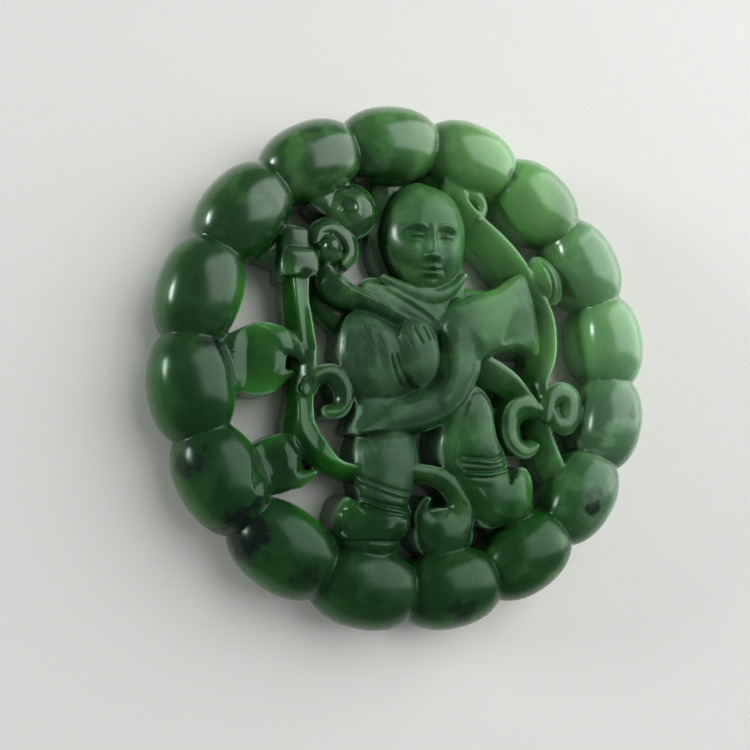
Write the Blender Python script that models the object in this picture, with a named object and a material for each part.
"""Pierced round jade pendant, cut from one stone.

A ring of olive-shaped beads frames a standing figure in a long-sleeved robe, who holds one of
the curling stems that fill the round field. The spaces between the stems go right through.

Frame: metres. The pendant lies on its flat back, +Z out of the carved face, +Y towards the
figure's head, and the origin is on the back plane under the middle of the bead ring.

The carving is drawn in millimetres for a bead circle of 20.6 mm radius and a stone 7.2 mm
thick. PLAN_UNIT and LEVEL_UNIT carry it over to the real bead circle and thickness, and its
zero point lies FIELD_OFFSET from the middle of the ring.
"""

import math

import bmesh
import bpy
import numpy as np

MM = 0.001

# Driving sizes
OUTSIDE_DIAMETER = 48.4 * MM
THICKNESS = 7.2 * MM
BEAD_COUNT = 16
BEAD_WIDTH = 7.2 * MM
BEAD_JOINT_SHARE = 0.65
BEAD_RISE_SHARE = 0.97
BEAD_FULLNESS = 2.2
FIRST_BEAD_ANGLE = math.radians(97.9)
BACK_GRINDING = 0.35 * MM
STEM_BACK = 0.7 * MM

# Sizes that follow from them
BEAD_CIRCLE = (OUTSIDE_DIAMETER - BEAD_WIDTH) / 2
BEAD_TOP = THICKNESS * BEAD_RISE_SHARE

# One millimetre of the drawing, in the plan and in height, and the place of its zero point
PLAN_UNIT = BEAD_CIRCLE / 20.6
LEVEL_UNIT = THICKNESS / 7.2
FIELD_OFFSET = np.array([0.2, -0.15])

# Fineness of the fused stone
FUSING_VOXEL = 0.26 * MM
STONE_TRIANGLES = 8900
STEP_ALONG = 0.7

JADE_GREEN = (0.035, 0.13, 0.055, 1.0)


def smooth_line(points, closed=False, step=STEP_ALONG):
    """A Catmull-Rom curve through the points, read about every step millimetres.

    A point holds x and y, and any further values, such as a width, go along with them.
    """
    points = np.array(points, float)
    count = len(points)
    near = np.arange(count if closed else count - 1)[:, None] + np.arange(-1, 3)
    near = near % count if closed else np.clip(near, 0, count - 1)
    a, b, c, d = (points[near[:, k]][:, None] for k in range(4))
    steps = max(2, int(math.ceil(np.linalg.norm((c - b)[..., :2], axis=-1).max() / step)))
    t = np.linspace(0, 1, steps, endpoint=False)[None, :, None]
    line = 0.5 * (2 * b + (c - a) * t + (2 * a - 5 * b + 4 * c - d) * t**2
                  + (3 * b - a - 3 * c + d) * t**3)
    line = line.reshape(-1, points.shape[1])
    return line if closed else np.vstack([line, points[-1:]])


def signed_power(value, power):
    return np.sign(value) * np.abs(value) ** power


def placed(plan, level):
    """Drawn millimetres to metres: the plan follows the bead circle, levels the thickness."""
    plan = (np.asarray(plan, float) + FIELD_OFFSET) * PLAN_UNIT
    level = np.asarray(level, float) * LEVEL_UNIT
    plan, level = np.broadcast_arrays(plan, level[..., None])
    return np.concatenate([plan, level[..., :1]], axis=-1)


def crowned(reach, rim, power=2.2):
    """Rise of a crowned top: 1 in the middle, and rim at the crisp edge where reach is 1."""
    return rim + (1 - rim) * (1 - np.abs(reach) ** power)


class Shells:
    """Closed shells of stacked rings, gathered as points and faces."""

    def __init__(self):
        self.points = []
        self.faces = []
        self.count = 0

    def add(self, rings, low, high):
        """Takes rings of points, all of the same length, and the two tips that close the shell."""
        stack, places = rings.shape[:2]
        index = self.count + np.arange(stack * places).reshape(stack, places)
        after = np.roll(index, -1, axis=1)
        quads = np.stack([index[:-1], after[:-1], after[1:], index[1:]], axis=-1)
        tip = self.count + stack * places
        under = np.stack([after[0], index[0], np.full(places, tip)], axis=-1)
        over = np.stack([index[-1], after[-1], np.full(places, tip + 1)], axis=-1)
        self.faces += [*quads.reshape(-1, 4).tolist(), *under.tolist(), *over.tolist()]
        self.points += [*rings.reshape(-1, 3).tolist(), list(low), list(high)]
        self.count += stack * places + 2


def dome(stone, outline, crest, floor=-0.6, centre=None, rim=0.78, power=2.2, slope=(0, 0)):
    """A crowned pad over a plan outline, with sawn upright sides up to its rim.

    The top is tilted by slope, its rise in x and in y.
    """
    edge = smooth_line(outline, closed=True)
    centre = edge.mean(axis=0) if centre is None else np.array(centre, float)
    reach = np.concatenate([[0.5, 1], np.linspace(1, 0, 9)[:-1] ** 0.7])
    rise = np.concatenate([[0, 0], crowned(reach[2:], rim, power)])
    plan = centre + (edge - centre) * reach[:, None, None]
    tilt = (plan - centre) @ np.array(slope) * rise[:, None]
    level = floor + (crest - floor) * rise[:, None] + tilt
    stone.add(placed(plan, level), placed(centre, np.array(floor)), placed(centre, np.array(crest)))


def oval(centre, across, along, lean=0.0, count=14):
    """Plan points of an ellipse whose long side leans by that many degrees from +Y."""
    turn = np.arange(count) * 2 * math.pi / count
    x, y = across * np.cos(turn), along * np.sin(turn)
    c, s = math.cos(math.radians(lean)), math.sin(math.radians(lean))
    return np.stack([centre[0] + c * x - s * y, centre[1] + s * x + c * y], axis=1)


def ribbon(stone, route, crest, floor=None, lean=0.0, drop=0.0, rim=0.88, power=2.2):
    """A crowned band along a route of (x, y, half width) points, with sawn upright sides.

    Its top falls by drop from one edge to the other: from the left of the way it runs where
    lean is 1, from the right where it is -1. crest is one level, or several along the way.
    """
    floor = STEM_BACK / LEVEL_UNIT if floor is None else floor
    line = smooth_line(route)
    plan, half = line[:, :2], line[:, 2]
    along = np.gradient(plan, axis=0)
    along /= np.linalg.norm(along, axis=1)[:, None]
    left = np.stack([-along[:, 1], along[:, 0]], axis=1)
    crest = np.interp(np.linspace(0, 1, len(plan)), np.linspace(0, 1, np.size(crest)),
                      np.atleast_1d(crest))
    # Rounded ends: two more stations beyond each end, ever narrower
    ends = np.radians([70, 35])
    first = plan[:1] - along[:1] * half[0] * np.sin(ends)[:, None] * 0.8
    last = plan[-1:] + along[-1:] * half[-1] * np.sin(ends[::-1])[:, None] * 0.8
    plan = np.vstack([first, plan, last])
    left = np.vstack([left[:1]] * 2 + [left] + [left[-1:]] * 2)
    half = np.concatenate([half[0] * np.cos(ends), half, half[-1] * np.cos(ends[::-1])])
    crest = np.concatenate([[crest[0]] * 2, crest, [crest[-1]] * 2])
    top_line = np.linspace(1, -1, 9)
    across = np.concatenate([top_line, [-1, 0, 1]])
    rise = np.concatenate([crowned(top_line, rim, power), [0, 0, 0]])
    grid = plan[:, None] + across[None, :, None] * (left * half[:, None])[:, None]
    top = crest[:, None] - drop * (1 - lean * across[None]) / 2
    level = floor + (top - floor) * rise[None]
    middle = (floor + crest) / 2
    stone.add(placed(grid, level), placed(plan[0], middle[0]), placed(plan[-1], middle[-1]))


def bead_ring(stone):
    """Olive-shaped beads that run into each other at the joints.

    Each bead is a rounded form of the given fullness along its length, where 2 is an ellipse.
    Across, its top is fuller on the inner side, and its back is fuller still.
    """
    pitch = 2 * math.pi / BEAD_COUNT
    joint = (1 - BEAD_JOINT_SHARE**BEAD_FULLNESS) ** (1 / BEAD_FULLNESS)
    half_length = BEAD_CIRCLE * math.tan(pitch / 2) / joint
    half_height = (BEAD_TOP + BACK_GRINDING) / 2
    middle = BEAD_TOP - half_height
    turns = (np.arange(22) + 0.5) * 2 * math.pi / 22
    fullness = np.where(np.sin(turns) < 0, 3.0, np.where(np.cos(turns) < 0, 2.5, 2.0))
    across = signed_power(np.cos(turns), 2 / fullness)
    rise = signed_power(np.sin(turns), 2 / fullness)
    slant = np.linspace(-0.5, 0.5, 15)[1:-1] * math.pi
    size = np.cos(slant) ** (2 / BEAD_FULLNESS)
    shift = signed_power(np.sin(slant), 2 / BEAD_FULLNESS) * half_length
    for k in range(BEAD_COUNT):
        angle = FIRST_BEAD_ANGLE - k * pitch
        out = np.array([math.cos(angle), math.sin(angle)])
        round_ring = np.array([-out[1], out[0]])
        reach = BEAD_CIRCLE + size[:, None] * across[None] * BEAD_WIDTH / 2
        plan = reach[..., None] * out + shift[:, None, None] * round_ring
        level = middle + size[:, None] * rise[None] * half_height
        rings = np.concatenate([plan, level[..., None]], axis=-1)
        tips = [[*(BEAD_CIRCLE * out + way * half_length * round_ring), middle]
                for way in (-1, 1)]
        stone.add(rings, *tips)


def figure(stone):
    """The robed figure: head, collar, sleeves, hand, sweeping robe, legs and boots."""
    # Head, the layer behind it and its bridge to the ring
    dome(stone, [(0.3, 16.7), (2.8, 15.7), (4.0, 13.2), (3.9, 10.4), (3.0, 7.8), (0.9, 6.2),
                 (-1.2, 6.9), (-3.0, 9.2), (-3.7, 12), (-2.9, 15.2), (-1.4, 16.6)], 6.7,
         centre=(0.2, 11.5), rim=0.74, power=3.2)
    dome(stone, oval((-0.4, 11.8), 4.3, 5.4), 3.0)
    ribbon(stone, [(-2.4, 15.4, 1.9), (-3.0, 19.5, 1.9)], 2.9, rim=0.7)
    # Trunk and shoulders
    dome(stone, [(-6.5, 6.2), (-4.8, 7.6), (-1.4, 6.9), (2.6, 6.9), (4.2, 7.4), (3.4, 3), (2, -3),
                 (-1, -5.2), (-5, -5.4), (-7, -1)], 5.4, rim=0.84)
    # Back layer of the far sleeve
    dome(stone, [(1.5, 6.6), (3.8, 7.6), (7.2, 7.6), (9.4, 8.4), (10, 6), (6, 3.5)], 3.8)
    # Collar and lapels
    ribbon(stone, [(-4.2, 7.4, 0.4), (-2.4, 6.6, 0.65), (0.4, 6.0, 0.65), (2.4, 6.8, 0.5),
                   (3.6, 8.1, 0.35)], [5.4, 5.8, 5.8], floor=2, rim=0.92)
    ribbon(stone, [(-5.8, 6.2, 0.7), (-3.0, 5.3, 1.1), (-0.6, 4.4, 1.2), (1.0, 3.2, 0.9)], 5.6,
           floor=2, lean=1, drop=0.3, rim=0.95)
    ribbon(stone, [(0.9, 6.2, 0.9), (1.4, 4.0, 0.7)], 5.5, floor=2, lean=-1, drop=0.3, rim=0.95)
    # Near sleeve and hand
    dome(stone, [(-8.2, 1.6), (-7.4, 3.9), (-5.6, 4.3), (-3.2, 3.4), (-0.8, 3.4), (0.5, 1.7),
                 (0.4, -0.8), (-1.2, -2.7), (-3.8, -3.6), (-6.6, -3.2), (-8.0, -0.8)], 6.5,
         rim=0.76, power=2.6)
    dome(stone, [(-3.2, 2.0), (-2.7, 3.1), (-1.3, 3.5), (0.0, 2.7), (0.6, 1.1), (0.5, -0.6),
                 (-0.3, -2.0), (-1.3, -2.4), (-2.2, -1.2), (-2.9, 0.4)], 7.2, floor=2, rim=0.86,
         power=3)
    # Robe that sweeps from the far shoulder to the pointed hem
    ribbon(stone, [(3.2, 4.6, 1.9), (3.3, 2.4, 2.3), (3.1, -0.2, 2.2), (2.1, -2.7, 1.85),
                   (0.1, -4.2, 1.9), (-2.8, -5.1, 1.6), (-6.2, -6.3, 0.4)], [5.7, 6.8, 6.5, 6.1],
           floor=-0.6, rim=0.78)
    # Robe under the near sleeve, down to the hem
    dome(stone, [(-6.4, -2.6), (-3.4, -2.6), (0.2, -2.4), (1.6, -3.6), (0.4, -5.2), (-2.4, -6.2),
                 (-5.0, -6.5), (-7.1, -6.5), (-6.7, -4.8)], 5.4, centre=(-3.2, -4.6), rim=0.92,
         power=3, slope=(0, -0.28))
    # Far sleeve, wide at the cuff
    dome(stone, [(1.2, 3.6), (2.6, 5.4), (4.4, 6.3), (6.9, 7.2), (9.6, 8.8), (10.8, 6.8),
                 (11.4, 4.2), (11.5, 1.2), (8.8, 1.4), (6.0, 0.7), (3.2, -0.8), (1.4, 0.8)], 6.6,
         centre=(5.4, 3.6), rim=0.84, power=6, slope=(-0.07, 0.05))
    # Near leg and boot
    ribbon(stone, [(-3.6, -7.2, 2.8), (-3.7, -8.4, 3.0), (-3.8, -10, 2.8), (-3.9, -12.0, 2.3)],
           [5.5, 5.9, 6.1, 6.1], floor=-0.6, rim=0.78)
    dome(stone, [(-8.4, -13.2), (-7.4, -12.0), (-5.9, -12.5), (-1.9, -12.6), (-1.5, -14.4),
                 (-2.5, -16.2), (-4.3, -18.4), (-7.4, -17.4), (-8.6, -15.6)], 6.4, rim=0.72, power=2.4)
    # Far leg and boot with its toe turned up
    dome(stone, [(4.0, -2.2), (5.3, -2.2), (6.4, -3.5), (6.7, -5.2), (7.0, -6.8), (7.7, -8.2),
                 (7.8, -9.8), (6.0, -10.6), (3.2, -10.4), (1.7, -9.6), (1.2, -8.2), (1.4, -6.2),
                 (2.4, -4.0)], 6.2, centre=(4.6, -7.0), rim=0.82, power=3)
    dome(stone, [(2.6, -10.2), (4.8, -8.8), (7.6, -9.2), (8.4, -10.6), (9.1, -9.6), (10.0, -9.6),
                 (10.6, -10.8), (10.6, -12.4), (10.4, -14), (8.0, -14.8), (5.4, -14.9),
                 (4.1, -12.8)], 6.1, centre=(6.8, -12), rim=0.82, power=3)
    ribbon(stone, [(7.4, -12.4, 1.8), (9.4, -17.4, 1.8)], 3.6)


def near_side_stems(stone):
    """Stems, curls, leaves and the bud on the side of the near sleeve."""
    # Trunk from the bud down to the near boot
    ribbon(stone, [(-12.0, 8.2, 1.1), (-12.0, 5.2, 1.05), (-11.6, 2.6, 1.1), (-11.2, 0.4, 1.0),
                   (-11.3, -1.6, 0.95), (-11.5, -4.2, 1.05), (-11.4, -6.4, 1.35),
                   (-10.0, -8.2, 1.15), (-8.3, -9.5, 0.8), (-6.3, -10.1, 0.8)], 5.5,
           lean=1, drop=1.7)
    # Hooked curl on the trunk
    ribbon(stone, [(-10.9, -2.8, 0.8), (-10.2, -1.7, 0.8), (-8.9, -1.4, 0.95), (-8.0, -2.2, 0.95),
                   (-7.7, -3.5, 0.85), (-8.2, -4.5, 0.75), (-9.3, -4.7, 0.6)], 5.4,
           lean=1, drop=0.4)
    ribbon(stone, [(-8.2, -1.6, 0.7), (-6.2, -2.6, 1.0)], 4.2)
    # Bud and the bridge that ties it to the ring
    dome(stone, [(-13.5, 7.4), (-13.4, 9.2), (-12.8, 9.6), (-10.8, 9.5), (-10.2, 9.0),
                 (-10.2, 7.6), (-10.9, 7.1), (-13.0, 7.0)], 5.5, rim=0.93, power=3)
    dome(stone, [(-13.3, 9.4), (-13.2, 11.2), (-12.7, 11.7), (-11.3, 11.5), (-10.9, 11.0),
                 (-10.8, 9.4)], 4.8, rim=0.93, power=3)
    ribbon(stone, [(-12.2, 9.3, 1.5), (-17.4, 11.0, 1.5)], 3.4)
    # Coiled curl, its knob, and the stem that runs from it to the hand
    dome(stone, oval((-9.0, 10.3), 2.3, 2.3), 4.7, rim=0.9)
    dome(stone, oval((-9.1, 9.8), 1.3, 1.45), 6.0, rim=0.78)
    ribbon(stone, [(-10.6, 10.4, 0.55), (-10.2, 11.5, 0.7), (-8.9, 11.9, 0.8),
                   (-7.5, 11.0, 0.8), (-7.0, 9.6, 0.7), (-7.6, 8.5, 0.55)], 5.5, lean=-1,
           drop=0.7, rim=0.92)
    ribbon(stone, [(-9.4, 7.7, 0.8), (-8.9, 6.6, 1.2), (-7.1, 5.5, 1.0), (-4.7, 4.7, 0.7),
                   (-1.8, 3.1, 0.6)], [5.4, 6.8], lean=1, drop=1.0)
    ribbon(stone, [(-9.2, 5.6, 1.4), (-7.2, 3.8, 1.5)], 3.0, rim=0.7)
    # Round curl under the ring, with a blind hollow in the middle
    dome(stone, oval((-7.0, 13.5), 2.4, 2.6), 5.5, rim=0.84, power=3)
    ribbon(stone, [(-12.0, 17.0, 1.3), (-9.6, 14.6, 1.4), (-8.2, 13.8, 1.2)], 4.9)
    # Leaf with a hooked edge, against the ring
    dome(stone, [(-19, 0.6), (-16.8, 2.3), (-14.9, 3.0), (-13.3, 2.6), (-12.8, 1.2), (-12.9, -1.2),
                 (-13.2, -2.4), (-14.4, -3.3), (-16.6, -3.2), (-19, -1.6)], 4.8,
         centre=(-15.4, -0.2), rim=0.9, power=3)
    ribbon(stone, [(-14.6, 1.4, 1.5), (-13.1, 1.3, 1.3), (-11.9, 0.7, 0.8), (-11.0, -0.5, 0.4)],
           4.7, rim=0.9)
    ribbon(stone, [(-14.2, -2.0, 1.2), (-13.2, -1.7, 0.7), (-12.4, -1.3, 0.3)], 4.5, rim=0.9)
    # Lower leaf with a sharp tip
    dome(stone, [(-16.0, -8.2), (-14.4, -7.0), (-12.7, -6.5), (-11.4, -7.2), (-11.2, -8.6),
                 (-11.4, -10.2), (-12.2, -11.4), (-14.2, -11.8), (-16.4, -11.8)], 4.9,
         centre=(-13.6, -9.3), rim=0.84, power=2.8)
    ribbon(stone, [(-12.6, -10.2, 1.2), (-11.4, -10.4, 0.8), (-10.2, -9.9, 0.3)], 4.6)


def far_side_stems(stone):
    """Stems, curls and the bud on the side of the far sleeve."""
    # Long stem from the ring down past the cuff
    ribbon(stone, [(1.6, 18.4, 1.1), (2.9, 16.4, 1.2), (3.8, 14.7, 1.2), (5.4, 13.1, 1.3),
                   (7.5, 11.5, 1.3), (9.4, 9.5, 1.3), (10.9, 7.2, 1.15), (12.2, 5.2, 1.15),
                   (12.6, 3.0, 1.15), (12.4, 0.8, 1.1), (11.6, -1.6, 0.9), (11.6, -4.2, 0.9)],
           5.5, lean=1, drop=2.3)
    # Small hook beside its upper end
    dome(stone, oval((5.0, 15.6), 1.4, 1.6), 4.2, rim=0.9)
    ribbon(stone, [(2.8, 17.2, 1.1), (4.3, 16.6, 0.9), (5.5, 16.1, 0.7), (6.0, 15.2, 0.6),
                   (5.6, 14.2, 0.6)], 5.2, lean=1, drop=0.5)
    # Bud on the long stem, tied to the ring
    dome(stone, oval((12.8, 8.6), 1.7, 2.6, 30), 5.7, rim=0.8)
    ribbon(stone, [(13.4, 8.6, 1.6), (17.2, 10.2, 1.6)], 3.2)
    # Lower stem from the robe to the ring
    ribbon(stone, [(4.9, 0.2, 1.2), (6.8, -0.7, 1.3), (8.6, -1.7, 1.15), (10.2, -3.2, 0.95),
                   (11.5, -4.8, 0.9), (12.1, -6.8, 1.0), (12.9, -9.0, 1.1), (14.4, -12.0, 1.2)],
           5.4, lean=1, drop=1.7)
    # Open curl under it
    ribbon(stone, [(11.2, -4.2, 0.9), (10.0, -4.0, 1.2), (9.0, -4.6, 1.25), (8.7, -5.8, 1.15),
                   (9.0, -7.1, 1.05), (10.0, -7.9, 0.85), (10.9, -7.5, 0.65)], 5.4,
           lean=-1, drop=0.7)
    ribbon(stone, [(9.2, -4.6, 1.0), (6.2, -5.4, 1.2)], 3.4)
    # Loop with a blind hollow, against the ring
    dome(stone, oval((14.0, -3.9), 2.2, 2.6), 4.7, rim=0.9)
    ribbon(stone, [(12.3, -4.8, 0.7), (12.8, -3.1, 0.95), (13.9, -2.4, 1.1), (15.0, -2.9, 1.15),
                   (15.1, -4.4, 1.15), (14.5, -5.4, 1.05), (13.5, -5.4, 0.85), (13.0, -4.4, 0.6)],
           5.3, rim=0.9)
    ribbon(stone, [(14.6, -3.8, 2.0), (18.6, -4.6, 2.0)], 3.4)
    # Comma-shaped curl between the boots, standing on the ring
    ribbon(stone, [(-1.3, -9.9, 0.8), (0.9, -10.3, 0.9), (2.3, -11.2, 1.0), (3.3, -12.6, 1.15),
                   (3.2, -14.4, 1.4)], 5.4, lean=1, drop=0.5)
    dome(stone, oval((1.7, -15.5), 2.9, 2.4), 5.5, rim=0.84)
    ribbon(stone, [(0.6, -15.2, 1.6), (-0.3, -14.0, 0.9), (-0.3, -13.0, 0.5),
                   (0.1, -12.3, 0.3)], 5.2)


# Carved lines on the front: route in the plan, half width, and depth (a ridge is below zero)
CARVED_LINES = (
    ([(-6.9, -10.1), (-5, -11), (-3, -11.6), (-1.5, -11.7)], 0.28, 0.45),
    ([(-7.1, -11.5), (-5, -12.5), (-3, -13), (-1.6, -13)], 0.28, 0.45),
    ([(1.2, -8.5), (3.5, -8.6), (5.4, -8.8), (7.6, -8.3)], 0.28, 0.45),
    ([(1.4, -9.6), (3.9, -9.9), (5.6, -9.9), (7.6, -9.4)], 0.28, 0.45),
    ([(-4, 0.6), (-3.8, -0.8), (-3.3, -1.8), (-2.6, -2.6)], 0.3, 0.4),
    ([(-6.6, 3), (-5.6, 1.6), (-5.3, -0.6), (-5.6, -2.2)], 0.35, 0.3),
    ([(3.2, 3.4), (6, 4.6), (9.6, 5.4)], 0.4, 0.3),
    ([(-9, -16.3), (-6, -16), (-3, -16.3)], 0.3, 0.5),
    ([(-2.4, 1.9), (-1.6, 0.7)], 0.2, 0.4),
    ([(-1.3, 2.9), (-0.8, 1.1)], 0.2, 0.4),
    ([(0.35, 12.2), (0.35, 10.4), (0.35, 9.6)], 0.5, -0.42),
    ([(-1.9, 12.2), (-1.2, 12.5), (-0.5, 12.2)], 0.25, -0.16),
    ([(1.2, 12.2), (1.9, 12.5), (2.6, 12.2)], 0.25, -0.16),
    ([(-1.9, 11.3), (-1.2, 11.2), (-0.6, 11.4)], 0.35, 0.25),
    ([(1.3, 11.4), (1.9, 11.2), (2.6, 11.3)], 0.35, 0.25),
    ([(-0.7, 8.4), (0.35, 8.3), (1.4, 8.4)], 0.3, 0.25),
)


def distance_to(points, route):
    """Plan distance from each point to the nearest place on a route."""
    starts, ways = route[:-1], np.diff(route, axis=0)
    gap = points[:, None, :] - starts[None]
    share = np.clip((gap * ways).sum(-1) / (ways**2).sum(-1), 0, 1)
    return np.linalg.norm(gap - share[..., None] * ways, axis=-1).min(axis=1)


def carve_lines(mesh):
    """Presses the carved lines into the faces that look up, as rounded grooves."""
    count = len(mesh.vertices)
    places = np.empty(count * 3, np.float32)
    mesh.vertices.foreach_get("co", places)
    places = places.reshape(-1, 3).astype(float)
    facing = np.empty(count * 3, np.float32)
    mesh.vertices.foreach_get("normal", facing)
    facing_up = np.clip(facing.reshape(-1, 3)[:, 2], 0, 1)
    plan = places[:, :2] / PLAN_UNIT - FIELD_OFFSET
    for route, half_width, depth in CARVED_LINES:
        gap = distance_to(plan, smooth_line(route))
        press = placed((0, 0), np.array(depth))[2] * np.exp(-((gap / half_width) ** 2))
        places[:, 2] -= press * facing_up
    mesh.vertices.foreach_set("co", places.astype(np.float32).ravel())


def jade():
    """Deep green polished nephrite."""
    material = bpy.data.materials.new("jade")
    material.use_nodes = True
    stone = material.node_tree.nodes["Principled BSDF"]
    stone.inputs["Base Color"].default_value = JADE_GREEN
    stone.inputs["Roughness"].default_value = 0.22
    stone.inputs["Metallic"].default_value = 0.0
    return material


def modified_mesh(stone_object):
    """The object's mesh as its modifiers leave it, as a mesh of its own."""
    graph = bpy.context.evaluated_depsgraph_get()
    mesh = bpy.data.meshes.new_from_object(stone_object.evaluated_get(graph))
    stone_object.modifiers.clear()
    return mesh


def fused_stone():
    """All forms run together into one closed surface, with the lines carved."""
    forms = Shells()
    bead_ring(forms)
    figure(forms)
    near_side_stems(forms)
    far_side_stems(forms)
    mesh = bpy.data.meshes.new("pendant")
    mesh.from_pydata(forms.points, [], forms.faces)
    stone = bpy.data.objects.new("pendant", mesh)
    bpy.context.scene.collection.objects.link(stone)
    fuse = stone.modifiers.new("fuse", "REMESH")
    fuse.mode = "VOXEL"
    fuse.voxel_size = FUSING_VOXEL
    stone.data = modified_mesh(stone)
    carve_lines(stone.data)
    return stone


def thin_out(stone):
    """Leaves about STONE_TRIANGLES, most of them where the surface bends."""
    stone.data.calc_loop_triangles()
    fewer = stone.modifiers.new("fewer", "DECIMATE")
    fewer.ratio = STONE_TRIANGLES / len(stone.data.loop_triangles)
    stone.data = modified_mesh(stone)


def grind_back(stone):
    """Cuts everything under the back plane away, so that the pendant lies flat."""
    side = OUTSIDE_DIAMETER * 1.2
    depth = THICKNESS
    slab = bmesh.new()
    bmesh.ops.create_cube(slab, size=1)
    bmesh.ops.scale(slab, vec=(side, side, depth), verts=slab.verts)
    bmesh.ops.translate(slab, vec=(0, 0, -depth / 2), verts=slab.verts)
    mesh = bpy.data.meshes.new("back_plane")
    slab.to_mesh(mesh)
    slab.free()
    cutter = bpy.data.objects.new("back_plane", mesh)
    cutter.hide_render = True
    cutter.display_type = "WIRE"
    bpy.context.scene.collection.objects.link(cutter)
    cut = stone.modifiers.new("flat_back", "BOOLEAN")
    cut.operation = "DIFFERENCE"
    cut.object = cutter


def main():
    for old in list(bpy.data.objects):
        bpy.data.objects.remove(old)
    stone = fused_stone()
    thin_out(stone)
    grind_back(stone)
    stone.data.materials.append(jade())
    stone.data.shade_smooth()
    stone.data.set_sharp_from_angle(angle=math.radians(50))


main()
